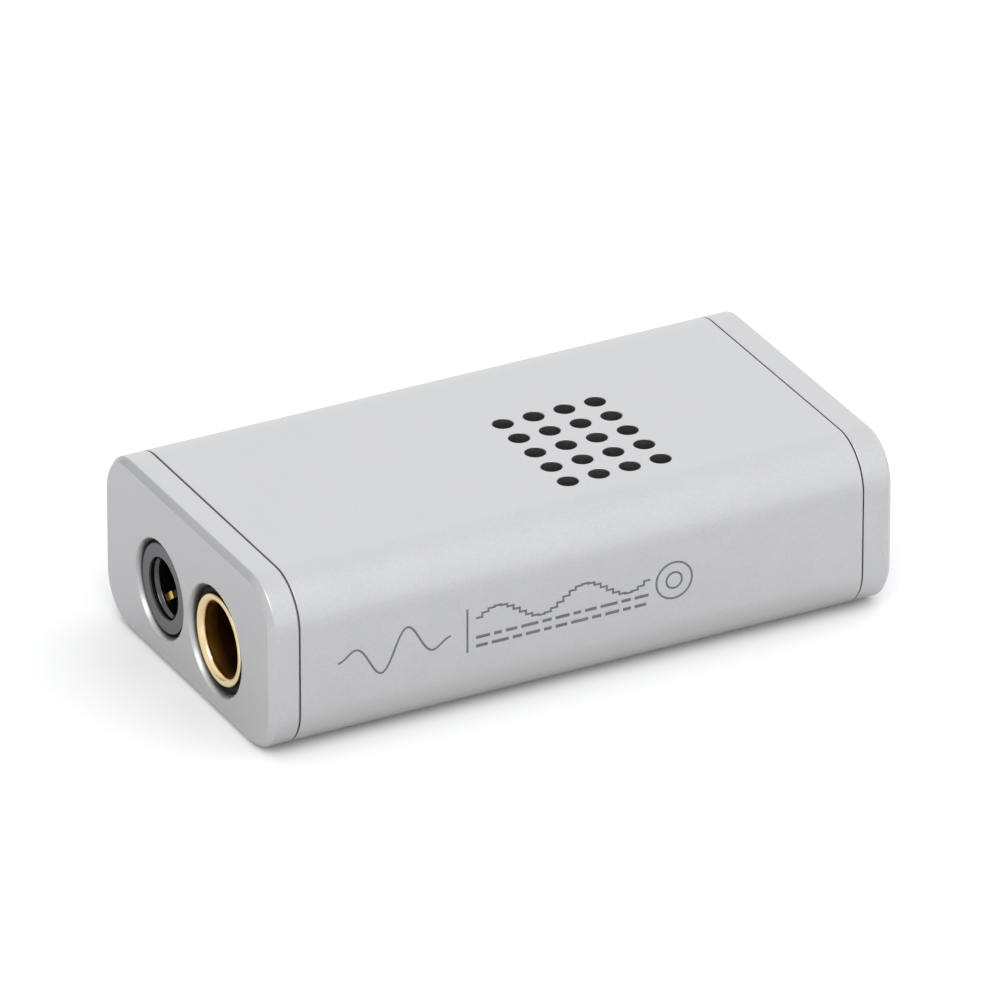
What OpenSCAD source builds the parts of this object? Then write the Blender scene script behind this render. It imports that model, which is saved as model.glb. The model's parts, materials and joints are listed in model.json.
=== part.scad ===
// Pocket USB audio converter: a machined aluminium sleeve closed by two caps,
// with a 3.5 mm and a 4.4 mm headphone jack at one end and a USB-C port at the other.
// Millimetres. +X runs from the jacks to the USB-C port, +Z is up, the marked long side faces -Y.
// The origin is the middle of the underside.

/* [Body] */
// Length over both caps
body_l = 40.1; // [39.6:0.1:41]
// Width over the long sides, without the buttons
body_w = 21.2; // [21:0.1:22]
// Height
body_h = 10.9; // [10.8:0.1:11.4]
// Radius of the four long edges
corner_r = 2.9; // [2.6:0.1:3.1]
// Wall thickness of the sleeve
wall = 1.1; // [1:0.05:1.2]

/* [Caps] */
// Thickness of the cap at the jack end
front_cap_t = 1.82; // [1.7:0.02:1.9]
// Thickness of the cap at the USB-C end
rear_cap_t = 1.94; // [1.8:0.02:2]
// Chamfer round the outer face of each cap
cap_chamfer = 0.35; // [0.2:0.05:0.5]
// Seam between the jack-end cap and the sleeve, filled by the bonding bead
front_seam = 0.1; // [0.06:0.02:0.14]
// Seam between the USB-C-end cap and the sleeve
rear_seam = 0.06; // [0.04:0.02:0.1]

/* [Vent grid] */
// Holes along the length
vent_nx = 4; // [3:1:4]
// Holes across the width
vent_ny = 5; // [4:1:5]
// Spacing of the vent holes, both ways
vent_pitch = 2; // [1.8:0.1:2.1]
// Diameter of a vent hole
vent_d = 1.25; // [1:0.05:1.4]
// Middle of the grid along the length
vent_x = 4.25; // [3.5:0.25:5]
// Middle of the grid across the width
vent_y = -2.1; // [-2.5:0.1:-1.5]

/* [Jacks] */
// Height of both jack axes
jack_z = 4.58; // [4.5:0.02:4.7]
// Sideways place of the 3.5 mm jack
small_jack_y = 3.52; // [3.5:0.02:3.6]
// Sideways place of the 4.4 mm jack
large_jack_y = -3.52; // [-3.6:0.02:-3.5]
// Bore of the 3.5 mm jack
small_bore_d = 3.6; // [3.55:0.05:3.65]
// Bore of the 4.4 mm jack
large_bore_d = 4.5; // [4.45:0.05:4.55]
// Depth of the 3.5 mm jack from the cap's face
small_jack_depth = 14.45; // [14.2:0.05:14.8]
// Depth of the 4.4 mm jack from the cap's face
large_jack_depth = 19.75; // [19.6:0.05:19.9]

/* [USB-C port] */
// Width of the port's shell
usb_w = 8.94; // [8.9:0.01:9]
// Height of the port's shell
usb_h = 3.26; // [3.2:0.01:3.3]
// Length of the port's shell
usb_l = 7.35; // [7:0.05:7.6]

/* [Buttons] */
// Diameter of a volume button
button_d = 2.8; // [2.6:0.1:3]
// How far a button stands out of the side
button_proud = 0.25; // [0.25:0.01:0.3]
// Place of the volume up button along the length
up_x = -1.5; // [-2:0.25:-1]
// Place of the volume down button along the length
down_x = 6.5; // [6:0.25:7]

/* [Hidden] */

fine = 96;
small = 40;
eps = 0.02;
face_front = -body_l / 2;
face_rear = body_l / 2;
sleeve_front = face_front + front_cap_t + front_seam;
sleeve_rear = face_rear - rear_cap_t - rear_seam;
mid_z = body_h / 2;
inner_w = body_w - 2 * wall;
inner_h = body_h - 2 * wall;
inner_r = corner_r - wall;
side_y = body_w / 2;
inner_y = inner_w / 2;

// Circuit board
board_t = 1;
board_top = 3.6;
board_w = inner_w - 0.4;
board_front = face_front + 2.6;
board_rear = face_rear - 2.5;
ledge_w = 0.6;
ledge_t = 0.5;

// Jacks: each recess is how far a visible rim lies behind the cap's face
mouth_flare = 0.2;
mouth_flare_l = 0.43;
nose_recess = 0.45;
nose_gap = 0.05;
small_hole_r = 2.87;
small_ring_r = 2.69;
small_ring_in = 1.88;
small_recess = 0.26;
small_ring_t = 0.15;
small_lead_r = 1.96;
small_lead_l = 0.25;
small_lead_slope = 0.2;
small_box_w = 6;
small_box_h = 5;
large_hole_r = 3.2;
barrel_r = 2.75;
barrel_recess = 0.21;
barrel_l = 5.4;
barrel_lip = 0.36;
large_box_w = 6.9;
large_box_h = 6.7;
box_front = face_front + front_cap_t + 0.13;
jack_back = 0.7;
small_bore_end = face_front + small_jack_depth;
large_bore_end = face_front + large_jack_depth;
contact_t = 0.15;
contact_w = 0.45;
slot_w = 0.7;
slot_ahead = 0.6;
spring_l = 2.4;
leg_w = 0.8;
foot_l = 0.7;
contact_proud = 0.15;

// USB-C port
usb_z = board_top + usb_h / 2;
usb_wall = 0.3;
usb_back = face_rear - usb_l;
tongue_w = 6.7;
tongue_t = 0.7;
tongue_front = face_rear - 0.9;
usb_gap = 0.1;

// Screws at the USB-C end
screw_y = 7.6;
screw_r = 0.6;
screw_head_r = 1.2;
screw_l = 6;
boss_r = 1.25;
boss_l = 6.2;

// Volume buttons and their side-push switches
button_z = mid_z;
button_r = button_d / 2;
flange_r = 1.75;
flange_t = 0.4;
button_gap = 0.06;
switch_front = inner_y - 1;
switch_w = 3.5;
switch_h = 3.5;
switch_deep = 1.6;
cover_t = 0.15;
plunger_r = 0.55;
plunger_out = 0.27;

module slab(x0, x1, w, h, r) {
    // Bar along X with a rounded-rectangle section, centred on Y = 0, Z = 0
    translate([x0, 0, 0])
        rotate([90, 0, 90])
            linear_extrude(height = x1 - x0)
                rounded_rect(w, h, r);
}

module rounded_rect(w, h, r) {
    square([w - 2 * r, h], center = true);
    square([w, h - 2 * r], center = true);
    for (sy = [-1, 1], sz = [-1, 1])
        translate([sy * (w / 2 - r), sz * (h / 2 - r)])
            circle(r = r, $fn = fine);
}

module rod_x(x0, x1, r, y = 0, z = 0, facets = fine) {
    translate([x0, y, z])
        rotate([0, 90, 0])
            cylinder(h = x1 - x0, r = r, $fn = facets);
}

module rod_y(y0, y1, r, x = 0, z = 0, facets = fine) {
    translate([x, y0, z])
        rotate([-90, 0, 0])
            cylinder(h = y1 - y0, r = r, $fn = facets);
}

module box(x0, x1, y0, y1, z0, z1) {
    translate([x0, y0, z0])
        cube([x1 - x0, y1 - y0, z1 - z0]);
}

module chip(x, y, l, w, h) {
    // A packaged component standing on the board
    box(x - l / 2, x + l / 2, y - w / 2, y + w / 2, board_top, board_top + h);
}

module cap_blank(t) {
    // Outer face at X = 0 with its chamfer, inner face at X = t, centred on Y = 0, Z = 0
    r = corner_r;
    c = cap_chamfer;
    slab(c, t, body_w, body_h, r);
    for (sy = [-1, 1], sz = [-1, 1])
        translate([0, sy * (body_w / 2 - r), sz * (body_h / 2 - r)])
            rotate([0, 90, 0])
                cylinder(h = c, r1 = r - c, r2 = r, $fn = fine);
    rotate([90, 0, 0])
        linear_extrude(height = body_w - 2 * r, center = true)
            polygon([[0, -body_h / 2 + c], [0, body_h / 2 - c], [c, body_h / 2], [c, -body_h / 2]]);
    linear_extrude(height = body_h - 2 * r, center = true)
        polygon([[0, -body_w / 2 + c], [0, body_w / 2 - c], [c, body_w / 2], [c, -body_w / 2]]);
}

module vent_holes() {
    for (i = [0 : vent_nx - 1], j = [0 : vent_ny - 1])
        translate([vent_x + (i - (vent_nx - 1) / 2) * vent_pitch,
                vent_y + (j - (vent_ny - 1) / 2) * vent_pitch, body_h - wall - 1])
            cylinder(h = wall + 2, r = vent_d / 2, $fn = small);
}

module body_sleeve() {
    color("silver")
        difference() {
            union() {
                difference() {
                    translate([0, 0, mid_z])
                        slab(sleeve_front, sleeve_rear, body_w, body_h, corner_r);
                    translate([0, 0, mid_z])
                        slab(sleeve_front - 1, sleeve_rear + 1, inner_w, inner_h, inner_r);
                }
                for (s = [-1, 1])
                    sleeve_side_features(s);
            }
            vent_holes();
            for (x = [up_x, down_x]) {
                rod_y(inner_y - 1, side_y + 1, button_r + button_gap, x, button_z);
                rod_y(inner_y - ledge_w - 0.1, inner_y, flange_r + 0.2, x, button_z);
            }
            for (s = [-1, 1])
                rod_x(sleeve_rear - boss_l, sleeve_rear + 1, screw_r, s * screw_y, usb_z, small);
        }
}

module sleeve_side_features(s) {
    // Two ledges that form the board's groove, and the screw boss at the USB-C end
    y0 = s > 0 ? inner_y - ledge_w : -inner_y - eps;
    y1 = s > 0 ? inner_y + eps : -inner_y + ledge_w;
    box(sleeve_front + 2, sleeve_rear - 2, y0, y1, board_top - board_t - ledge_t - 0.05,
        board_top - board_t - 0.05);
    box(sleeve_front + 2, sleeve_rear - 2, y0, y1, board_top + 0.05, board_top + 0.05 + ledge_t);
    rod_x(sleeve_rear - boss_l, sleeve_rear, boss_r, s * screw_y, usb_z);
    web_y0 = s > 0 ? screw_y : -inner_y - eps;
    web_y1 = s > 0 ? inner_y + eps : -screw_y;
    box(sleeve_rear - boss_l, sleeve_rear, web_y0, web_y1, usb_z - boss_r, usb_z + boss_r);
}

module front_cap() {
    x1 = face_front + front_cap_t;
    lip_l = 1.5;
    color("silver")
        difference() {
            union() {
                translate([face_front, 0, mid_z])
                    cap_blank(front_cap_t);
                box(x1 - 0.1, x1 + lip_l, -7.4, 7.4, body_h - wall - 0.9, body_h - wall - 0.1);
                for (s = [-1, 1])
                    box(x1 - 0.1, x1 + lip_l, s * (inner_y - 0.5) - 0.4, s * (inner_y - 0.5) + 0.4,
                        board_top + 0.9, body_h - wall - 2);
            }
            jack_mouth(small_hole_r, small_jack_y);
            jack_mouth(large_hole_r, large_jack_y);
        }
}

module jack_mouth(r, y) {
    // Hole through the jack-end cap, flared towards its outer face
    rod_x(face_front - 1, face_front + front_cap_t + 1, r, y, jack_z);
    translate([face_front - mouth_flare_l, y, jack_z])
        rotate([0, 90, 0])
            cylinder(h = 2 * mouth_flare_l, r1 = r + 2 * mouth_flare, r2 = r, $fn = fine);
}

module front_cap_bond() {
    inset = 0.4;
    bead = 1.2;
    color("dimgray")
        translate([0, 0, mid_z])
            difference() {
                slab(sleeve_front - front_seam, sleeve_front, body_w - inset, body_h - inset,
                    corner_r - inset / 2);
                slab(sleeve_front - 1, sleeve_front + 1, body_w - inset - bead,
                    body_h - inset - bead, corner_r - inset / 2 - bead / 2);
            }
}

module rear_cap() {
    x0 = face_rear - rear_cap_t;
    lip_l = 1.5;
    color("silver")
        difference() {
            union() {
                translate([face_rear, 0, mid_z])
                    mirror([1, 0, 0])
                        cap_blank(rear_cap_t);
                box(x0 - lip_l, x0 + 0.1, -7.4, 7.4, body_h - wall - 0.9, body_h - wall - 0.1);
                box(x0 - lip_l, x0 + 0.1, -7.4, 7.4, wall + 0.2, wall + 0.8);
            }
            translate([0, 0, usb_z])
                slab(x0 - 1, face_rear + 1, usb_w + 2 * usb_gap, usb_h + 2 * usb_gap,
                    usb_h / 2 + usb_gap - 0.01);
            for (s = [-1, 1]) {
                rod_x(x0 - 1, face_rear + 1, screw_r + 0.15, s * screw_y, usb_z, small);
                translate([face_rear - 0.7, s * screw_y, usb_z])
                    rotate([0, 90, 0])
                        cylinder(h = 0.7 + eps, r1 = screw_r + 0.1, r2 = screw_head_r + 0.1,
                            $fn = small);
            }
        }
}

module rear_cap_screws() {
    color("gray")
        for (s = [-1, 1])
            translate([face_rear - 0.05, s * screw_y, usb_z])
                mirror([1, 0, 0])
                    difference() {
                        union() {
                            rotate([0, 90, 0])
                                cylinder(h = 0.6, r1 = screw_head_r, r2 = screw_r - 0.05,
                                    $fn = small);
                            rod_x(0.5, screw_l, screw_r - 0.05, 0, 0, small);
                        }
                        rod_x(-1, 0.4, 0.45, 0, 0, 6);
                    }
}

module vent_mesh() {
    w = vent_pitch * (vent_nx - 1) + vent_d + 1.2;
    d = vent_pitch * (vent_ny - 1) + vent_d + 1.2;
    top = body_h - wall;
    color("black")
        box(vent_x - w / 2, vent_x + w / 2, vent_y - d / 2, vent_y + d / 2, top - 0.15, top);
}

module insulating_film() {
    color("goldenrod")
        box(sleeve_front + 1, sleeve_rear - 2, inner_r - inner_y, inner_y - inner_r, wall,
            wall + 0.08);
}

module circuit_board() {
    y = board_w / 2;
    small_y = small_jack_y + small_box_w / 2 + 0.3;
    split_y = large_jack_y + large_box_w / 2 + 0.1;
    large_y = large_jack_y - large_box_w / 2 - 0.1;
    small_x = small_bore_end + jack_back + 0.1;
    large_x = large_bore_end + jack_back + 0.1;
    color("darkgreen")
        translate([0, 0, board_top - board_t])
            linear_extrude(height = board_t)
                polygon([[board_front, y], [board_rear, y], [board_rear, -y], [board_front, -y],
                    [board_front, large_y], [large_x, large_y], [large_x, split_y],
                    [small_x, split_y], [small_x, small_y], [board_front, small_y]]);
}

module contact_slot(x, r_in) {
    // Window from the bore to the outside, along +Z of the contact's own direction
    box(x - slot_ahead, x + spring_l, -slot_w / 2, slot_w / 2, r_in - 0.3, r_in + 3);
}

module contact_spring(x, r_in, reach) {
    // Bent strip along X, held at its inner end, whose bump reaches into the bore at X = x.
    // A riser takes it out to the housing's surface, reach from the axis
    low = r_in - contact_proud;
    t = contact_t;
    held = low + 0.75;
    translate([0, contact_w / 2, 0])
        rotate([90, 0, 0])
            linear_extrude(height = contact_w)
                polygon([[x + spring_l, held], [x + 0.6, low + 0.3], [x + 0.25, low],
                    [x - 0.25, low], [x - 0.5, low + 0.4], [x - 0.35, low + 0.5],
                    [x - 0.15, low + t], [x + 0.15, low + t], [x + 0.55, low + 0.3 + t],
                    [x + spring_l - t, held + t], [x + spring_l - t, reach],
                    [x + spring_l, reach]]);
}

module solder_leg(x, y, s, z) {
    // Strip down the housing's side at Y = y, from height z to a foot on the board
    x0 = x + spring_l - leg_w;
    x1 = x + spring_l;
    outer = y + s * contact_t;
    tip = y + s * foot_l;
    box(x0, x1, min(y, outer), max(y, outer), board_top, z);
    box(x0, x1, min(y, tip), max(y, tip), board_top, board_top + contact_t);
}

module jack_turn(y, angle) {
    // Puts a +Z feature on the jack's axis and turns it towards angle, seen from the jack's mouth
    translate([0, y, jack_z])
        rotate([angle, 0, 0])
            children();
}

small_r = small_bore_d / 2;
large_r = large_bore_d / 2;
// Where each contact's bump lies along X, and its direction: 0 is up, 90 is -Y and -90 is +Y
small_contacts = [[face_front + 1.65, -136], [face_front + 4.6, -90], [face_front + 9.8, -90]];
large_contacts = [[face_front + 6.3, 90], [face_front + 8.6, 0], [face_front + 10.9, 90],
    [face_front + 13.2, 0], [face_front + 15.7, 90]];

module small_jack_housing() {
    y0 = small_jack_y - small_box_w / 2;
    seat = face_front + small_recess + small_ring_t;
    lead_end = seat + small_lead_l;
    color("#202022")
        difference() {
            union() {
                box(box_front, small_bore_end + jack_back, y0, y0 + small_box_w,
                    jack_z - small_box_h / 2, jack_z + small_box_h / 2);
                rod_x(face_front + nose_recess, box_front + 0.1, small_hole_r - nose_gap,
                    small_jack_y, jack_z);
            }
            rod_x(face_front, small_bore_end, small_r, small_jack_y, jack_z);
            rod_x(face_front, seat, small_ring_r + eps, small_jack_y, jack_z);
            rod_x(face_front, lead_end, small_lead_r, small_jack_y, jack_z);
            translate([lead_end, small_jack_y, jack_z])
                rotate([0, 90, 0])
                    cylinder(h = small_lead_slope, r1 = small_lead_r, r2 = small_r, $fn = fine);
            for (c = small_contacts)
                jack_turn(small_jack_y, c[1])
                    contact_slot(c[0], small_r);
        }
}

module small_jack_ring() {
    // Thin washer whose hole widens a little towards the back
    color("dimgray")
        translate([face_front + small_recess, small_jack_y, jack_z])
            rotate([0, 90, 0])
                difference() {
                    cylinder(h = small_ring_t, r = small_ring_r, $fn = fine);
                    translate([0, 0, -small_ring_t])
                        cylinder(h = 3 * small_ring_t, r1 = small_ring_in - 0.02,
                            r2 = small_ring_in + 0.04, $fn = fine);
                }
}

module small_jack_contacts() {
    t = contact_t;
    side = small_jack_y + small_box_w / 2;
    under = jack_z - small_box_h / 2;
    sleeve_x = small_contacts[0][0] + spring_l;
    color("gold") {
        jack_turn(small_jack_y, small_contacts[0][1])
            contact_spring(small_contacts[0][0], small_r, small_box_h / 2 + 0.9);
        box(sleeve_x - leg_w, sleeve_x, side - 1.2, side + t, under - t, under);
        box(sleeve_x - leg_w, sleeve_x, side, side + t, under - t, board_top + t);
        box(sleeve_x - leg_w, sleeve_x, side, side + foot_l, board_top, board_top + t);
        for (i = [1, 2]) {
            jack_turn(small_jack_y, small_contacts[i][1])
                contact_spring(small_contacts[i][0], small_r, small_box_w / 2 + t);
            solder_leg(small_contacts[i][0], side, 1, jack_z + contact_w / 2);
        }
    }
}

module large_jack_housing() {
    y0 = large_jack_y - large_box_w / 2;
    color("#1c1c1e")
        difference() {
            union() {
                box(box_front, large_bore_end + jack_back, y0, y0 + large_box_w,
                    jack_z - large_box_h / 2, jack_z + large_box_h / 2);
                rod_x(face_front + nose_recess, box_front + 0.1, large_hole_r - nose_gap,
                    large_jack_y, jack_z);
            }
            rod_x(face_front, large_bore_end, large_r, large_jack_y, jack_z);
            rod_x(face_front, face_front + barrel_recess + barrel_l, barrel_r + eps,
                large_jack_y, jack_z);
            for (c = large_contacts)
                jack_turn(large_jack_y, c[1])
                    contact_slot(c[0], large_r);
        }
}

module large_jack_barrel() {
    // Turned tube with a rounded inner lip and a small chamfer on its outer edge
    r_lip = large_r + barrel_lip;
    wall_t = barrel_r - large_r;
    color("gold")
        translate([face_front + barrel_recess, large_jack_y, jack_z])
            rotate([0, 90, 0])
                rotate_extrude($fn = fine)
                    difference() {
                        union() {
                            translate([large_r, barrel_lip])
                                square([wall_t, barrel_l - barrel_lip]);
                            translate([r_lip, 0])
                                square([barrel_r - r_lip, barrel_lip + eps]);
                            intersection() {
                                translate([r_lip, barrel_lip])
                                    circle(r = barrel_lip, $fn = small);
                                translate([large_r, 0])
                                    square([wall_t, barrel_lip]);
                            }
                        }
                        translate([barrel_r, 0])
                            rotate(45)
                                square(0.1, center = true);
                    }
}

module large_jack_contacts() {
    // The contacts on top run over the housing and down its side, between the side ones
    t = contact_t;
    side = large_jack_y - large_box_w / 2;
    top = jack_z + large_box_h / 2;
    color("gold")
        for (c = large_contacts) {
            on_top = c[1] == 0;
            x1 = c[0] + spring_l;
            jack_turn(large_jack_y, c[1])
                contact_spring(c[0], large_r, (on_top ? large_box_h : large_box_w) / 2 + t);
            solder_leg(c[0], side, -1, on_top ? top + t : jack_z + contact_w / 2);
            if (on_top)
                box(x1 - leg_w, x1, side - t, large_jack_y + contact_w / 2, top, top + t);
        }
}

module jack_detect_contacts() {
    // Switch blades behind the deepest end of each bore, with their solder feet on the board
    t = contact_t;
    color("gold") {
        x0 = small_bore_end + jack_back + 0.1;
        box(x0, x0 + t, small_jack_y - 0.5, small_jack_y + 0.5, board_top, jack_z + 1);
        box(x0 + t, x0 + t + 0.8, small_jack_y - 0.5, small_jack_y + 0.5, board_top,
            board_top + t);
        x1 = large_bore_end + jack_back + 0.1;
        box(x1, x1 + t, large_jack_y - 0.5, large_jack_y + 0.5, board_top, jack_z + 1);
        box(x1 + t, x1 + t + 0.8, large_jack_y - 0.5, large_jack_y + 0.5, board_top,
            board_top + t);
    }
}

module usb_c_shell() {
    color("lightgray")
        difference() {
            union() {
                translate([0, 0, usb_z])
                    slab(usb_back, face_rear, usb_w, usb_h, usb_h / 2 - 0.01);
                for (s = [-1, 1], x = [usb_back + 1, usb_back + 4.2])
                    box(x, x + 1, s * (usb_w / 2 - 0.1) - 0.15, s * (usb_w / 2 - 0.1) + 0.15,
                        board_top, usb_z);
            }
            translate([0, 0, usb_z])
                slab(usb_back + usb_wall, face_rear + 1, usb_w - 2 * usb_wall,
                    usb_h - 2 * usb_wall, usb_h / 2 - usb_wall - 0.01);
        }
}

module usb_c_tongue() {
    block_end = usb_back + usb_wall + 1.6;
    color("#1a1a1a")
        translate([0, 0, usb_z]) {
            slab(usb_back + usb_wall, block_end, usb_w - 2 * usb_wall - 0.02,
                usb_h - 2 * usb_wall - 0.02, usb_h / 2 - usb_wall - 0.03);
            slab(block_end - 0.1, tongue_front, tongue_w, tongue_t, 0.3);
        }
}

module usb_c_contacts() {
    pitch = 0.5;
    width = 0.25;
    color("gold")
        for (i = [0 : 11], s = [-1, 1])
            translate([tongue_front - 4.1, (i - 5.5) * pitch - width / 2,
                    usb_z + s * (tongue_t / 2 + 0.02) - 0.02])
                cube([3.7, width, 0.04]);
}

module dac_chips() {
    color("#222222")
        for (x = [4, 9.6])
            chip(x, -5.2, 4, 4, 0.8);
}

module usb_bridge_chip() {
    color("#222222")
        chip(7, 2.2, 5, 5, 0.85);
}

module flash_chip() {
    color("#222222")
        chip(1.6, 5.4, 2, 3, 0.6);
}

module crystal_oscillators() {
    color("silver")
        for (y = [-0.4, 2.4])
            chip(2, y, 2, 1.6, 0.5);
}

module voltage_regulators() {
    color("#222222")
        for (x = [-16, -13.4, -10.8])
            chip(x, 8.05, 1.6, 1.6, 0.8);
}

module ferrite_inductors() {
    color("dimgray")
        for (x = [-2.4, -0.3])
            chip(x, 1.4, 1.6, 2, 1);
}

module tantalum_capacitors() {
    color("darkorange")
        for (x = [2.6, 6, 9.4])
            chip(x, -8.1, 3.2, 1.2, 1.1);
}

module ceramic_capacitors() {
    color("tan") {
        for (x = [3.4 : 1.2 : 11.8])
            chip(x, -1.4, 0.5, 1, 0.5);
        for (x = [-3.4, -1.9, -0.4])
            chip(x, 4.4, 1, 0.5, 0.5);
        for (x = [-15.5 : 2 : -5.5])
            chip(x, -8.5, 1, 0.5, 0.5);
    }
}

module chip_resistors() {
    color("#303030") {
        for (x = [10.6, 11.5])
            for (y = [1, 2.6, 4.2])
                chip(x, y, 0.5, 1, 0.35);
        for (x = [-8.4 : 1.4 : -5.4])
            chip(x, 8, 0.5, 1, 0.35);
    }
}

module status_led() {
    color("white")
        chip(8.6, 5.5, 1.6, 0.8, 0.6);
}

module volume_button(x) {
    // Cap through the sleeve's wall, flange behind it, and a stub that meets the switch's plunger
    top = side_y + button_proud;
    edge = 0.12;
    color("silver") {
        rod_y(inner_y - 0.05 - eps, top - edge, button_r, x, button_z);
        translate([x, top - edge, button_z])
            rotate([-90, 0, 0])
                cylinder(h = edge, r1 = button_r, r2 = button_r - edge, $fn = fine);
        rod_y(inner_y - 0.05 - flange_t, inner_y - 0.05, flange_r, x, button_z);
        rod_y(switch_front + plunger_out, inner_y - flange_t, 0.8, x, button_z, small);
    }
}

module volume_up_button() {
    volume_button(up_x);
}

module volume_down_button() {
    volume_button(down_x);
}

module plunger(x) {
    color("white") {
        rod_y(switch_front - 0.95, switch_front + plunger_out, plunger_r, x, button_z, small);
        rod_y(switch_front - 0.6, switch_front - cover_t - 0.05, 0.9, x, button_z, small);
    }
}

module volume_up_plunger() {
    plunger(up_x);
}

module volume_down_plunger() {
    plunger(down_x);
}

module switch_housings() {
    z0 = board_top;
    y0 = switch_front - switch_deep;
    color("#1a1a1a")
        for (x = [up_x, down_x])
            difference() {
                box(x - switch_w / 2, x + switch_w / 2, y0, switch_front - cover_t, z0,
                    z0 + switch_h);
                rod_y(y0 + 0.15, switch_front, 1.3, x, button_z, small);
            }
}

module switch_covers() {
    color("lightgray")
        for (x = [up_x, down_x])
            difference() {
                box(x - switch_w / 2, x + switch_w / 2, switch_front - cover_t, switch_front,
                    board_top, board_top + switch_h);
                rod_y(switch_front - 1, switch_front + 1, plunger_r + 0.06, x, button_z, small);
            }
}

module switch_domes() {
    y0 = switch_front - switch_deep + 0.15;
    h = 0.22;
    color("silver")
        for (x = [up_x, down_x])
            translate([x, y0, button_z])
                rotate([-90, 0, 0])
                    difference() {
                        cylinder(h = h, r1 = 1.2, r2 = 0.5, $fn = small);
                        translate([0, 0, -0.06])
                            cylinder(h = h, r1 = 1.2, r2 = 0.5, $fn = small);
                    }
}

module switch_terminals() {
    color("lightgray")
        for (x = [up_x, down_x], s = [-1, 1])
            box(x + s * (switch_w / 2 + 0.3) - 0.3, x + s * (switch_w / 2 + 0.3) + 0.3,
                switch_front - 1.1, switch_front - 0.4, board_top, board_top + 0.15);
}

body_sleeve();
front_cap();
front_cap_bond();
rear_cap();
rear_cap_screws();
vent_mesh();
insulating_film();
circuit_board();
small_jack_housing();
small_jack_ring();
small_jack_contacts();
large_jack_housing();
large_jack_barrel();
large_jack_contacts();
jack_detect_contacts();
usb_c_shell();
usb_c_tongue();
usb_c_contacts();
dac_chips();
usb_bridge_chip();
flash_chip();
crystal_oscillators();
voltage_regulators();
ferrite_inductors();
tantalum_capacitors();
ceramic_capacitors();
chip_resistors();
status_led();
volume_up_button();
volume_down_button();
volume_up_plunger();
volume_down_plunger();
switch_housings();
switch_covers();
switch_domes();
switch_terminals();
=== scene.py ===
import json
import math

import bmesh
import bpy
import numpy as np
from mathutils import Matrix, Vector


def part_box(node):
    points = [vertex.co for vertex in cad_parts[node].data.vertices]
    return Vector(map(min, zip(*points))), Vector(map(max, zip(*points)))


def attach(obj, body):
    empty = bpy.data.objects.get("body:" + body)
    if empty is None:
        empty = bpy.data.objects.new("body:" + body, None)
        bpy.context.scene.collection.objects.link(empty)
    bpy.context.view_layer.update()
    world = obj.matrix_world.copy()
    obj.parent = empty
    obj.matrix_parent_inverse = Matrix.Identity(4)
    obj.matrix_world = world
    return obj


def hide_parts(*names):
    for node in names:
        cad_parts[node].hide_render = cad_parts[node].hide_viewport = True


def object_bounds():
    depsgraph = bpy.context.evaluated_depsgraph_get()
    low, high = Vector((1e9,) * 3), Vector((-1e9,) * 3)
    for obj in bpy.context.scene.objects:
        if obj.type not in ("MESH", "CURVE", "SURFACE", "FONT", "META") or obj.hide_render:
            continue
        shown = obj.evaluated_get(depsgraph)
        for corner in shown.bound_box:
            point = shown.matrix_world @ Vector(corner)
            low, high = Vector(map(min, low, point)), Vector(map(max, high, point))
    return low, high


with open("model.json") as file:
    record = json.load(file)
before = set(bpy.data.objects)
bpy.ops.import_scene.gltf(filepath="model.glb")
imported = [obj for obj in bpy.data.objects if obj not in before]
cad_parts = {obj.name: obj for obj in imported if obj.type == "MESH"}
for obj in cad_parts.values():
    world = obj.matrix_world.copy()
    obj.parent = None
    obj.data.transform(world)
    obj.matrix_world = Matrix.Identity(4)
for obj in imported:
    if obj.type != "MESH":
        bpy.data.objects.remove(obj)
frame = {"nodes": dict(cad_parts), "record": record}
cad_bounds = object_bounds()

MM = 0.001
ROOT = "enclosure"

# Light and floor, in metres
TENT_LEVEL = 1.40                 # brightness of the tent half way between its sides
TENT_LEAN = (0.35, 0.02, -0.10)   # how much brighter it is towards each axis
DARK_SIDE = (-0.46, 0.888, 0.0)   # middle of the tent's darker patch: behind, to the left
DARK_NARROWNESS = 12.0            # the higher, the narrower the patch
FLOOR_HALF = 3.0                  # half the floor's side
FLOOR_WHITE = (0.795, 0.795, 0.795)
# The floor's painted shadow beside the jack end: its grey colour, its middle and its reach
FLOOR_PAINTED_SHADOW = (0.71, 0.71, 0.712)
PAINTED_SHADOW_SPOT = (-0.031, 0.021, 0.0)  # middle of the floor's greyer patch
PAINTED_SHADOW_REACH = (0.008, 0.034)       # how far out it starts to fade, and where it has gone

# Stretches along X near the jack end, in millimetres, over which a material changes; over the first
# and the third, painted shade darkens the gold inside the large jack
LIP_TO_SHADE = (-19.62, -19.45)
LIP_TO_DULL = (-19.6, -19.35)
BORE_TO_DEEP_SHADE = (-19.4, -18.6)
HOUSING_FRONT = (-19.57, -19.5)
SMALL_MOUTH_END = (-19.15, -19.0)

NOISE_RANGE = (0.3, 0.7)          # holds most of a noise texture's values
CORE_HALF = {"X": 18.0, "Y": 9.0}  # faces nearer the middle are inside the case, in millimetres
UPRIGHT = 0.3                     # the most that an upright face's normal leans up or down

# How the pieces' meshes are refined
WELD_MM = 0.0015
FLAT_ANGLE = 0.4                  # faces this close to one plane, in degrees, are joined
SHARP_ANGLE = 35.0                # edges sharper than this, in degrees, are rounded
ROUND_SEGMENTS = 2
NORMALS_WEIGHT = 90
NORMALS_THRESHOLD = 0.1

# The side marking, in millimetres
MARK_PROUD = 0.004
MARK_DEEP = 0.03
MITRE_LIMIT = 0.35                # keeps the corners of a stroke from growing too long
RING_CORNERS = 48
LINE = 0.13
DASH_LINE = 0.2

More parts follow.
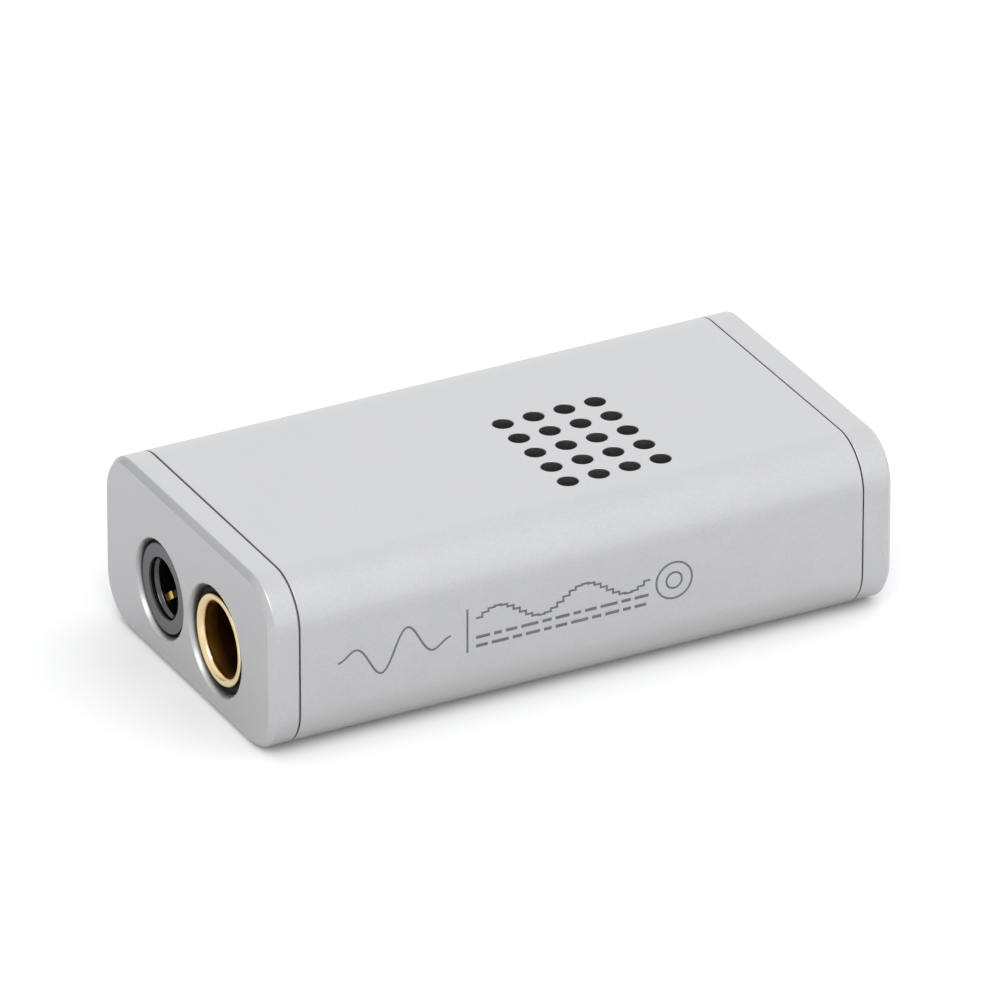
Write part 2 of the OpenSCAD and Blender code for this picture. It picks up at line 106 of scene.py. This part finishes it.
SLOT_OF = {part["node"]: part["material_slot"] for part in frame["record"]["subparts"]}
BODY_OF = {node: body for body, nodes in frame["record"]["behaviour"]["bodies"].items()
           for node in nodes}


# ---------------------------------------------------------------- nodes

def feed(links, socket, value):
    """Links the value to the socket if it is another node's output, otherwise sets it."""
    if hasattr(value, "node"):
        links.new(value, socket)
    else:
        socket.default_value = value


def math_node(tree, operation, a, b):
    """The result of a Math node, whose operands are numbers or other nodes' outputs."""
    node = tree.nodes.new("ShaderNodeMath")
    node.operation = operation
    for socket, value in zip(node.inputs, (a, b)):
        feed(tree.links, socket, value)
    return node.outputs[0]


# ---------------------------------------------------------------- camera, light and floor

def add_camera():
    """The main viewpoint: azimuth and elevation in degrees, distance in metres."""
    azimuth = math.radians(-27.62)
    elevation = math.radians(27.75)
    distance = 0.80675
    aim_right, aim_up = 0.00007, 0.00148
    low, high = cad_bounds
    middle = Vector((0.0, 0.0, (low.z + high.z) / 2))
    back = Vector((math.sin(azimuth) * math.cos(elevation),
                   -math.cos(azimuth) * math.cos(elevation), math.sin(elevation)))
    right = Vector((math.cos(azimuth), math.sin(azimuth), 0.0))
    up = back.cross(right)
    camera = bpy.data.objects.new("camera", bpy.data.cameras.new("camera"))
    camera.data.lens = 505.1
    camera.data.sensor_width = 36.0
    camera.data.clip_start = 0.01
    camera.data.clip_end = 20.0
    place = Matrix((right, up, back)).transposed().to_4x4()
    place.translation = middle + right * aim_right + up * aim_up + back * distance
    camera.matrix_world = place
    bpy.context.collection.objects.link(camera)
    bpy.context.scene.camera = camera


def add_studio():
    """A white tent, brighter on the right, and one soft lamp from the front left."""
    scene = bpy.context.scene
    scene.view_settings.view_transform = "Standard"
    world = bpy.data.worlds.new("studio")
    scene.world = world
    world.use_nodes = True
    tree = world.node_tree
    nodes, links = tree.nodes, tree.links
    nodes.clear()
    out = nodes.new("ShaderNodeOutputWorld")
    tent = nodes.new("ShaderNodeBackground")
    where = nodes.new("ShaderNodeTexCoord")

    def towards(direction):
        node = nodes.new("ShaderNodeVectorMath")
        node.operation = "DOT_PRODUCT"
        node.inputs[1].default_value = direction
        links.new(where.outputs["Generated"], node.inputs[0])
        return node.outputs["Value"]

    level = math_node(tree, "ADD", towards(TENT_LEAN), TENT_LEVEL)
    facing = math_node(tree, "MAXIMUM", towards(DARK_SIDE), 0.0)
    dark = math_node(tree, "POWER", facing, DARK_NARROWNESS)
    links.new(math_node(tree, "SUBTRACT", level, dark), tent.inputs["Strength"])
    links.new(tent.outputs[0], out.inputs["Surface"])
    tent.inputs["Color"].default_value = (0.985, 0.99, 1.0, 1)
    lamp_data = bpy.data.lights.new("lamp", "AREA")
    lamp_data.size = 0.6
    lamp_data.energy = 3.4
    lamp = bpy.data.objects.new("lamp", lamp_data)
    lamp.location = (-0.35, -0.45, 0.82)
    lamp.rotation_euler = lamp.location.to_track_quat("Z", "Y").to_euler()
    bpy.context.collection.objects.link(lamp)


def add_floor():
    """A plain white floor with a painted soft shadow: a little greyer beside the end that holds the
    two jacks.
    """
    bm = bmesh.new()
    bmesh.ops.create_grid(bm, x_segments=8, y_segments=8, size=FLOOR_HALF)
    mesh = bpy.data.meshes.new("floor")
    bm.to_mesh(mesh)
    bm.free()
    floor = bpy.data.objects.new("floor", mesh)
    floor.location.z = cad_bounds[0].z
    bpy.context.collection.objects.link(floor)
    s = Shader("floor_white", Roughness=1.0, Specular_IOR_Level=0.0)
    away = s.nodes.new("ShaderNodeVectorMath")
    away.operation = "DISTANCE"
    away.inputs[1].default_value = PAINTED_SHADOW_SPOT
    s.links.new(s.place, away.inputs[0])
    # painted shadow: the floor's colour greys towards the patch's middle
    painted_shadow = s.spread(away.outputs["Value"], *PAINTED_SHADOW_REACH, 1.0, 0.0)
    s.put("Base Color", s.mix(painted_shadow, FLOOR_WHITE, FLOOR_PAINTED_SHADOW))
    mesh.materials.append(s.material)


# ---------------------------------------------------------------- materials

class Shader:
    """A Principled material and the few node forms that the materials share."""

    def __init__(self, name, **values):
        self.material = bpy.data.materials.new(name)
        self.material.use_nodes = True
        self.nodes = self.material.node_tree.nodes
        self.links = self.material.node_tree.links
        self.surface = self.nodes["Principled BSDF"]
        self.place = self.nodes.new("ShaderNodeTexCoord").outputs["Object"]
        for socket, value in values.items():
            self.surface.inputs[socket.replace("_", " ")].default_value = value

    def noise(self, size_mm, detail=2.0, roughness=0.5, stretch=(1, 1, 1)):
        place = self.place
        if stretch != (1, 1, 1):
            mapping = self.nodes.new("ShaderNodeMapping")
            mapping.inputs["Scale"].default_value = stretch
            self.links.new(place, mapping.inputs["Vector"])
            place = mapping.outputs["Vector"]
        texture = self.nodes.new("ShaderNodeTexNoise")
        texture.inputs["Scale"].default_value = 1.0 / (size_mm * MM)
        texture.inputs["Detail"].default_value = detail
        texture.inputs["Roughness"].default_value = roughness
        self.links.new(place, texture.inputs["Vector"])
        return texture.outputs["Fac"]

    def spread(self, fac, low, high, to_low, to_high):
        node = self.nodes.new("ShaderNodeMapRange")
        node.inputs["From Min"].default_value = low
        node.inputs["From Max"].default_value = high
        node.inputs["To Min"].default_value = to_low
        node.inputs["To Max"].default_value = to_high
        self.links.new(fac, node.inputs["Value"])
        return node.outputs["Result"]

    def mix(self, fac, a, b):
        node = self.nodes.new("ShaderNodeMix")
        node.data_type = "RGBA"
        self.links.new(fac, node.inputs["Factor"])
        for name, value in (("A", a), ("B", b)):
            socket = next(i for i in node.inputs if i.name == name and i.type == "RGBA")
            feed(self.links, socket, value if hasattr(value, "node") else (*value, 1))
        return next(o for o in node.outputs if o.type == "RGBA")

    def math(self, operation, a, b):
        return math_node(self.material.node_tree, operation, a, b)

    def along(self, axis, source=None):
        """One axis of the place on the object, in metres, or of another vector."""
        split = self.nodes.new("ShaderNodeSeparateXYZ")
        self.links.new(source or self.place, split.inputs[0])
        return split.outputs[axis]

    def grade(self, noise, low, high):
        """The noise, spread between these two values."""
        return self.spread(noise, *NOISE_RANGE, low, high)

    def change(self, stretch_mm, before, after):
        """Goes from one value to the other over a stretch of X."""
        start, end = stretch_mm
        return self.spread(self.along("X"), start * MM, end * MM, before, after)

    def within(self, value, limit):
        return self.math("LESS_THAN", self.math("ABSOLUTE", value, 0.0), limit)

    def drilled_walls(self):
        """1 on upright faces that lie well inside the case's length and width, 0 elsewhere."""
        normal = self.nodes.new("ShaderNodeTexCoord").outputs["Normal"]
        found = self.within(self.along("Z", normal), UPRIGHT)
        for axis, half in CORE_HALF.items():
            found = self.math("MULTIPLY", found, self.within(self.along(axis), half * MM))
        return found

    def put(self, socket, value):
        self.links.new(value, self.surface.inputs[socket])

    def bump(self, height, depth_mm, strength=1.0):
        node = self.nodes.new("ShaderNodeBump")
        node.inputs["Distance"].default_value = depth_mm * MM
        node.inputs["Strength"].default_value = strength
        self.links.new(height, node.inputs["Height"])
        self.links.new(node.outputs["Normal"], self.surface.inputs["Normal"])


def anodised():
    """Bead-blasted, silver-anodised aluminium: fine bright and dull grains, faint handling marks.
    The walls of the vent holes carry painted shade: a darker colour than the blasted outside."""
    s = Shader("silver_anodised", Metallic=1.0)
    grain = s.noise(0.11, 3.0, 0.62)
    patch = s.noise(2.6, 3.0, 0.55)
    tone = s.math("ADD", s.grade(grain, 0.0, 0.8), s.grade(patch, 0.0, 0.2))
    shaded_hole_walls = s.drilled_walls()
    blasted = s.mix(tone, (0.428, 0.428, 0.432), (0.500, 0.500, 0.504))
    # painted shade: the vent holes' walls get a darker colour
    s.put("Base Color", s.mix(shaded_hole_walls, blasted, (0.25, 0.25, 0.255)))
    rough = s.math("ADD", s.grade(grain, 0.33, 0.45), s.grade(patch, 0.0, 0.04))
    s.put("Roughness", s.math("ADD", rough, s.math("MULTIPLY", shaded_hole_walls, 0.06)))
    s.bump(grain, 0.004, 0.6)
    return s.material


def gold():
    """Polished gold plating with fine turning marks, with painted shade in the large jack's bore:
    amber past the lip, dark brown further in.
    """
    s = Shader("gold_plate", Metallic=1.0)
    turn = s.noise(0.12, 2.0, 0.5, stretch=(4, 1, 1))
    tone = s.noise(0.9, 2.0)
    bright = s.mix(tone, (0.70, 0.545, 0.29), (0.86, 0.69, 0.41))
    large_jack = s.math("LESS_THAN", s.along("Y"), 0.0)
    # painted shade: the large jack's gold turns amber past the lip, then dark brown further into
    # its bore
    mouth = s.math("MULTIPLY", large_jack, s.change(LIP_TO_SHADE, 0.0, 1.0))
    deep_shade = s.math("MULTIPLY", large_jack, s.change(BORE_TO_DEEP_SHADE, 0.0, 1.0))
    yellow = s.mix(large_jack, (0.95, 0.66, 0.20), bright)
    lip_shaded = s.mix(mouth, yellow, (0.60, 0.31, 0.05))
    s.put("Base Color", s.mix(deep_shade, lip_shaded, (0.13, 0.045, 0.004)))
    bore = s.change(LIP_TO_DULL, 0.0, 0.14)
    s.put("Roughness", s.math("ADD", s.grade(turn, 0.16, 0.28), bore))
    s.bump(turn, 0.002, 0.4)
    return s.material


def moulded(name, dark, light, rough=(0.4, 0.55), size_mm=0.15, shine=0.5):
    """Moulded resin or plastic: a fine matt texture and slow changes of tone."""
    s = Shader(name, Specular_IOR_Level=shine)
    grain = s.noise(size_mm, 3.0, 0.6)
    patch = s.noise(1.4, 2.0)
    s.put("Base Color", s.mix(patch, dark, light))
    s.put("Roughness", s.grade(grain, *rough))
    s.bump(grain, 0.004, 0.5)
    return s.material


def black_plastic():
    """Glossy black moulding, polished inside the small jack's mouth and matt on the housings'
    front faces round the jacks."""
    s = Shader("black_plastic")
    s.put("Base Color", s.mix(s.noise(1.4), (0.002, 0.002, 0.0025), (0.004, 0.004, 0.005)))
    front = s.change(HOUSING_FRONT, 1.0, 0.0)
    s.put("Roughness", s.math("ADD", s.grade(s.noise(0.3, 3.0, 0.6), 0.12, 0.20),
                              s.math("MULTIPLY", front, 0.3)))
    polished = s.change(SMALL_MOUTH_END, 1.0, 0.5)
    s.put("Specular IOR Level", s.math("MULTIPLY", polished, s.spread(front, 0, 1, 1.0, 0.05)))
    return s.material


def plated(name, dark, light):
    """Drawn or turned metal with fine lines along X."""
    s = Shader(name, Metallic=1.0)
    lines = s.noise(0.09, 3.0, 0.6, stretch=(0.15, 1, 1))
    patch = s.noise(1.1, 2.0)
    s.put("Base Color", s.mix(patch, dark, light))
    s.put("Roughness", s.grade(lines, 0.22, 0.4))
    s.bump(lines, 0.003, 0.4)
    return s.material


def board():
    """Solder mask over copper: lighter green where tracks and pours run beneath it."""
    s = Shader("board_laminate")
    tracks = s.nodes.new("ShaderNodeTexBrick")
    tracks.inputs["Scale"].default_value = 1.0 / (1.6 * MM)
    tracks.inputs["Mortar Size"].default_value = 0.03
    tracks.inputs["Color1"].default_value = (0.012, 0.075, 0.045, 1)
    tracks.inputs["Color2"].default_value = (0.010, 0.062, 0.037, 1)
    tracks.inputs["Mortar"].default_value = (0.022, 0.120, 0.070, 1)
    s.links.new(s.place, tracks.inputs["Vector"])
    patch = s.noise(3.0, 3.0)
    s.put("Base Color", s.mix(s.spread(patch, 0.4, 0.6, 0, 0.7), tracks.outputs["Color"],
                              (0.008, 0.050, 0.030)))
    s.put("Roughness", s.grade(s.noise(0.3), 0.22, 0.36))
    s.bump(tracks.outputs["Fac"], 0.01, 0.5)
    return s.material


def woven_mesh():
    """Black dust mesh: two crossed sets of fine threads."""
    s = Shader("black_mesh", Roughness=0.6)
    waves = []
    for turn in (0.0, math.pi / 2):
        mapping = s.nodes.new("ShaderNodeMapping")
        mapping.inputs["Rotation"].default_value = (0, 0, turn)
        s.links.new(s.place, mapping.inputs["Vector"])
        wave = s.nodes.new("ShaderNodeTexWave")
        wave.inputs["Scale"].default_value = 1.0 / (0.6 * MM)
        s.links.new(mapping.outputs["Vector"], wave.inputs["Vector"])
        waves.append(wave.outputs["Fac"])
    thread = s.math("MAXIMUM", waves[0], waves[1])
    s.put("Base Color", s.mix(thread, (0.002, 0.002, 0.002), (0.022, 0.022, 0.024)))
    s.bump(thread, 0.03, 0.8)
    return s.material


def make_materials():
    return {
        "silver_anodised": anodised(),
        "gold_plate": gold(),
        "black_plastic": black_plastic(),
        "laser_mark": moulded("laser_mark", (0.09, 0.09, 0.092), (0.15, 0.15, 0.152), (0.5, 0.7),
                              size_mm=0.1, shine=0.2),
        "bond_line": moulded("bond_line", (0.27, 0.27, 0.27), (0.34, 0.34, 0.34), (0.6, 0.8)),
        "screw_steel": plated("screw_steel", (0.40, 0.40, 0.41), (0.52, 0.52, 0.53)),
        "black_mesh": woven_mesh(),
        "amber_film": moulded("amber_film", (0.45, 0.21, 0.03), (0.58, 0.30, 0.06), (0.12, 0.2)),
        "board_laminate": board(),
        "grey_ring": moulded("grey_ring", (0.070, 0.068, 0.073), (0.088, 0.086, 0.092),
                             (0.45, 0.6)),
        "port_steel": plated("port_steel", (0.50, 0.50, 0.50), (0.62, 0.62, 0.61)),
        "chip_resin": moulded("chip_resin", (0.014, 0.014, 0.015), (0.024, 0.024, 0.025)),
        "ferrite": moulded("ferrite", (0.05, 0.05, 0.055), (0.09, 0.09, 0.095), (0.5, 0.7)),
        "tantalum_case": moulded("tantalum_case", (0.5, 0.23, 0.04), (0.66, 0.33, 0.07)),
        "ceramic": moulded("ceramic", (0.36, 0.27, 0.19), (0.46, 0.37, 0.27), (0.5, 0.7)),
        "led_lens": moulded("led_lens", (0.78, 0.78, 0.70), (0.88, 0.88, 0.82), (0.15, 0.3)),
        "white_plastic": moulded("white_plastic", (0.66, 0.66, 0.64), (0.78, 0.78, 0.76)),
    }


# ---------------------------------------------------------------- pieces

def refined(node, width_mm):
    """A new piece with the CAD node's shape, whose sharp edges are rounded by width_mm."""
    bm = bmesh.new()
    bm.from_mesh(frame["nodes"][node].data)
    bmesh.ops.scale(bm, vec=(1 / MM, 1 / MM, 1 / MM), verts=bm.verts)
    bmesh.ops.remove_doubles(bm, verts=bm.verts, dist=WELD_MM)
    bmesh.ops.dissolve_limit(bm, angle_limit=math.radians(FLAT_ANGLE), verts=bm.verts,
                             edges=bm.edges)
    for face in bm.faces:
        face.smooth = True
    mesh = bpy.data.meshes.new(node + "_piece")
    bm.to_mesh(mesh)
    bm.free()
    piece = bpy.data.objects.new(node + "_piece", mesh)
    bpy.context.collection.objects.link(piece)
    bevel = piece.modifiers.new("edge", "BEVEL")
    bevel.width = width_mm
    bevel.segments = ROUND_SEGMENTS
    bevel.limit_method = "ANGLE"
    bevel.angle_limit = math.radians(SHARP_ANGLE)
    bevel.use_clamp_overlap = False
    bevel.miter_outer = "MITER_ARC"
    normals = piece.modifiers.new("normals", "WEIGHTED_NORMAL")
    normals.keep_sharp = True
    normals.weight = NORMALS_WEIGHT
    normals.thresh = NORMALS_THRESHOLD
    settle(piece)
    finished(piece, SLOT_OF[node], BODY_OF[node], node)


def settle(piece):
    """Applies the modifiers at millimetre scale, then turns the mesh to metres."""
    view = bpy.context.evaluated_depsgraph_get()
    view.update()
    mesh = bpy.data.meshes.new_from_object(piece.evaluated_get(view))
    piece.modifiers.clear()
    old = piece.data
    piece.data = mesh
    bpy.data.meshes.remove(old)
    mesh.transform(Matrix.Scale(MM, 4))
    mesh.name = piece.name


def finished(piece, slot, body, *nodes):
    """The piece takes its slot's material, rides on its body and stands for its CAD nodes."""
    piece.data.materials.clear()
    piece.data.materials.append(materials[slot])
    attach(piece, body)
    if nodes:
        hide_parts(*nodes)


def repaint_nodes():
    """Every CAD node that stays in view takes the procedural material of its slot."""
    for part in frame["record"]["subparts"]:
        node = frame["nodes"][part["node"]]
        for place in node.material_slots:
            place.link = "OBJECT"
            place.material = materials[part["material_slot"]]


# ---------------------------------------------------------------- side marking

class Marking:
    """Thin strips on the long side that faces -Y: a generic mark, without any lettering."""

    def __init__(self, side_y):
        self.bm = bmesh.new()
        self.front = side_y - MARK_PROUD
        self.back = side_y + MARK_DEEP

    def stroke(self, points, width, closed=False):
        """A strip of that width along the (x, z) points, in millimetres."""
        points = [np.array(p, float) for p in points]
        count = len(points)
        edges = []
        for i, point in enumerate(points):
            before = points[i - 1] if closed or i else None
            after = points[(i + 1) % count] if closed or i < count - 1 else None
            steps = [v / np.linalg.norm(v) for v in
                     ([point - before] if before is not None else [])
                     + ([after - point] if after is not None else [])]
            along = sum(steps) / np.linalg.norm(sum(steps))
            across = np.array((-along[1], along[0]))
            reach = width / 2 / max(MITRE_LIMIT, float(along @ steps[0]))
            edges.append((point - across * reach, point + across * reach))
        rings = []
        for low, high in edges:
            rings.append([self.bm.verts.new((p[0], y, p[1])) for p, y in
                          ((low, self.front), (high, self.front), (high, self.back),
                           (low, self.back))])
        for i in range(count if closed else count - 1):
            here, there = rings[i], rings[(i + 1) % count]
            for k in range(4):
                self.bm.faces.new((here[k], here[(k + 1) % 4], there[(k + 1) % 4], there[k]))
        if not closed:
            self.bm.faces.new(rings[0])
            self.bm.faces.new(rings[-1])

    def ring(self, x, z, radius, width):
        turn = [2 * math.pi * i / RING_CORNERS for i in range(RING_CORNERS)]
        self.stroke([(x + radius * math.cos(a), z + radius * math.sin(a)) for a in turn], width,
                    closed=True)

    def done(self, name):
        bmesh.ops.recalc_face_normals(self.bm, faces=self.bm.faces)
        bmesh.ops.scale(self.bm, vec=(MM, MM, MM), verts=self.bm.verts)
        mesh = bpy.data.meshes.new(name)
        self.bm.to_mesh(mesh)
        self.bm.free()
        piece = bpy.data.objects.new(name, mesh)
        bpy.context.collection.objects.link(piece)
        finished(piece, "laser_mark", ROOT)


def side_marking():
    """A smooth wave, a rule, the same wave in steps, two dashed rules and two rings."""
    mark = Marking(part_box("body_sleeve")[0].y / MM)

    wave_start, wave_end, wave_length = -15.8, -8.6, 7.2
    wave_middle, wave_height, wave_turn = 5.45, 1.35, 1.745
    wave = []
    for x in np.linspace(wave_start, wave_end, 145):
        run = x - wave_start
        swell = math.sin(run / wave_length * math.pi)
        wave.append((x, wave_middle + wave_height * math.sin(run * wave_turn) * swell))
    mark.stroke(wave, LINE)

    rule_x, rule_low, rule_high = -7.55, 4.1, 6.9
    mark.stroke([(rule_x, rule_low), (rule_x, rule_high)], LINE)

    rows_start, rows_end, rows_length = -7.0, 4.2, 11.2
    step, steps, stairs_middle, stairs_height = 0.4, 28, 6.05, 0.65
    stairs = []
    for i in range(steps):
        x = rows_start + i * step
        z = stairs_middle + stairs_height * math.sin((i + 0.5) * step / rows_length * 4 * math.pi)
        stairs += [(x, z), (x + step, z)]
    mark.stroke(stairs, LINE)

    dashes, dash_lengths, gap = 11, (0.9, 0.5, 0.75, 1.1, 0.6), 0.25
    for row, z in enumerate((4.95, 4.4)):
        x = rows_start
        for i in range(dashes):
            length = dash_lengths[(i + 2 * row) % len(dash_lengths)]
            mark.stroke([(x, z), (min(x + length, rows_end), z)], DASH_LINE)
            x += length + gap

    rings_x, rings_z = 5.75, 5.5
    for radius in (1.15, 0.5):
        mark.ring(rings_x, rings_z, radius, LINE)
    mark.done("side_marking")


# ---------------------------------------------------------------- assembly

# How far each piece's sharp edges are rounded, in millimetres
EDGES = {
    "body_sleeve": 0.06, "front_cap": 0.06, "rear_cap": 0.06, "front_cap_bond": 0.01,
    "rear_cap_screws": 0.03, "small_jack_housing": 0.05, "small_jack_ring": 0.02,
    "large_jack_barrel": 0.02, "large_jack_housing": 0.05, "usb_c_shell": 0.06,
    "usb_c_tongue": 0.05, "dac_chips": 0.05, "usb_bridge_chip": 0.05, "flash_chip": 0.05,
    "crystal_oscillators": 0.12, "voltage_regulators": 0.05, "ferrite_inductors": 0.15,
    "tantalum_capacitors": 0.08, "status_led": 0.05, "switch_housings": 0.06,
    "switch_covers": 0.03, "volume_up_button": 0.03, "volume_down_button": 0.03,
    "volume_up_plunger": 0.05, "volume_down_plunger": 0.05,
}

materials = make_materials()
add_camera()
add_studio()
add_floor()
repaint_nodes()
for node, width in EDGES.items():
    refined(node, width)
side_marking()
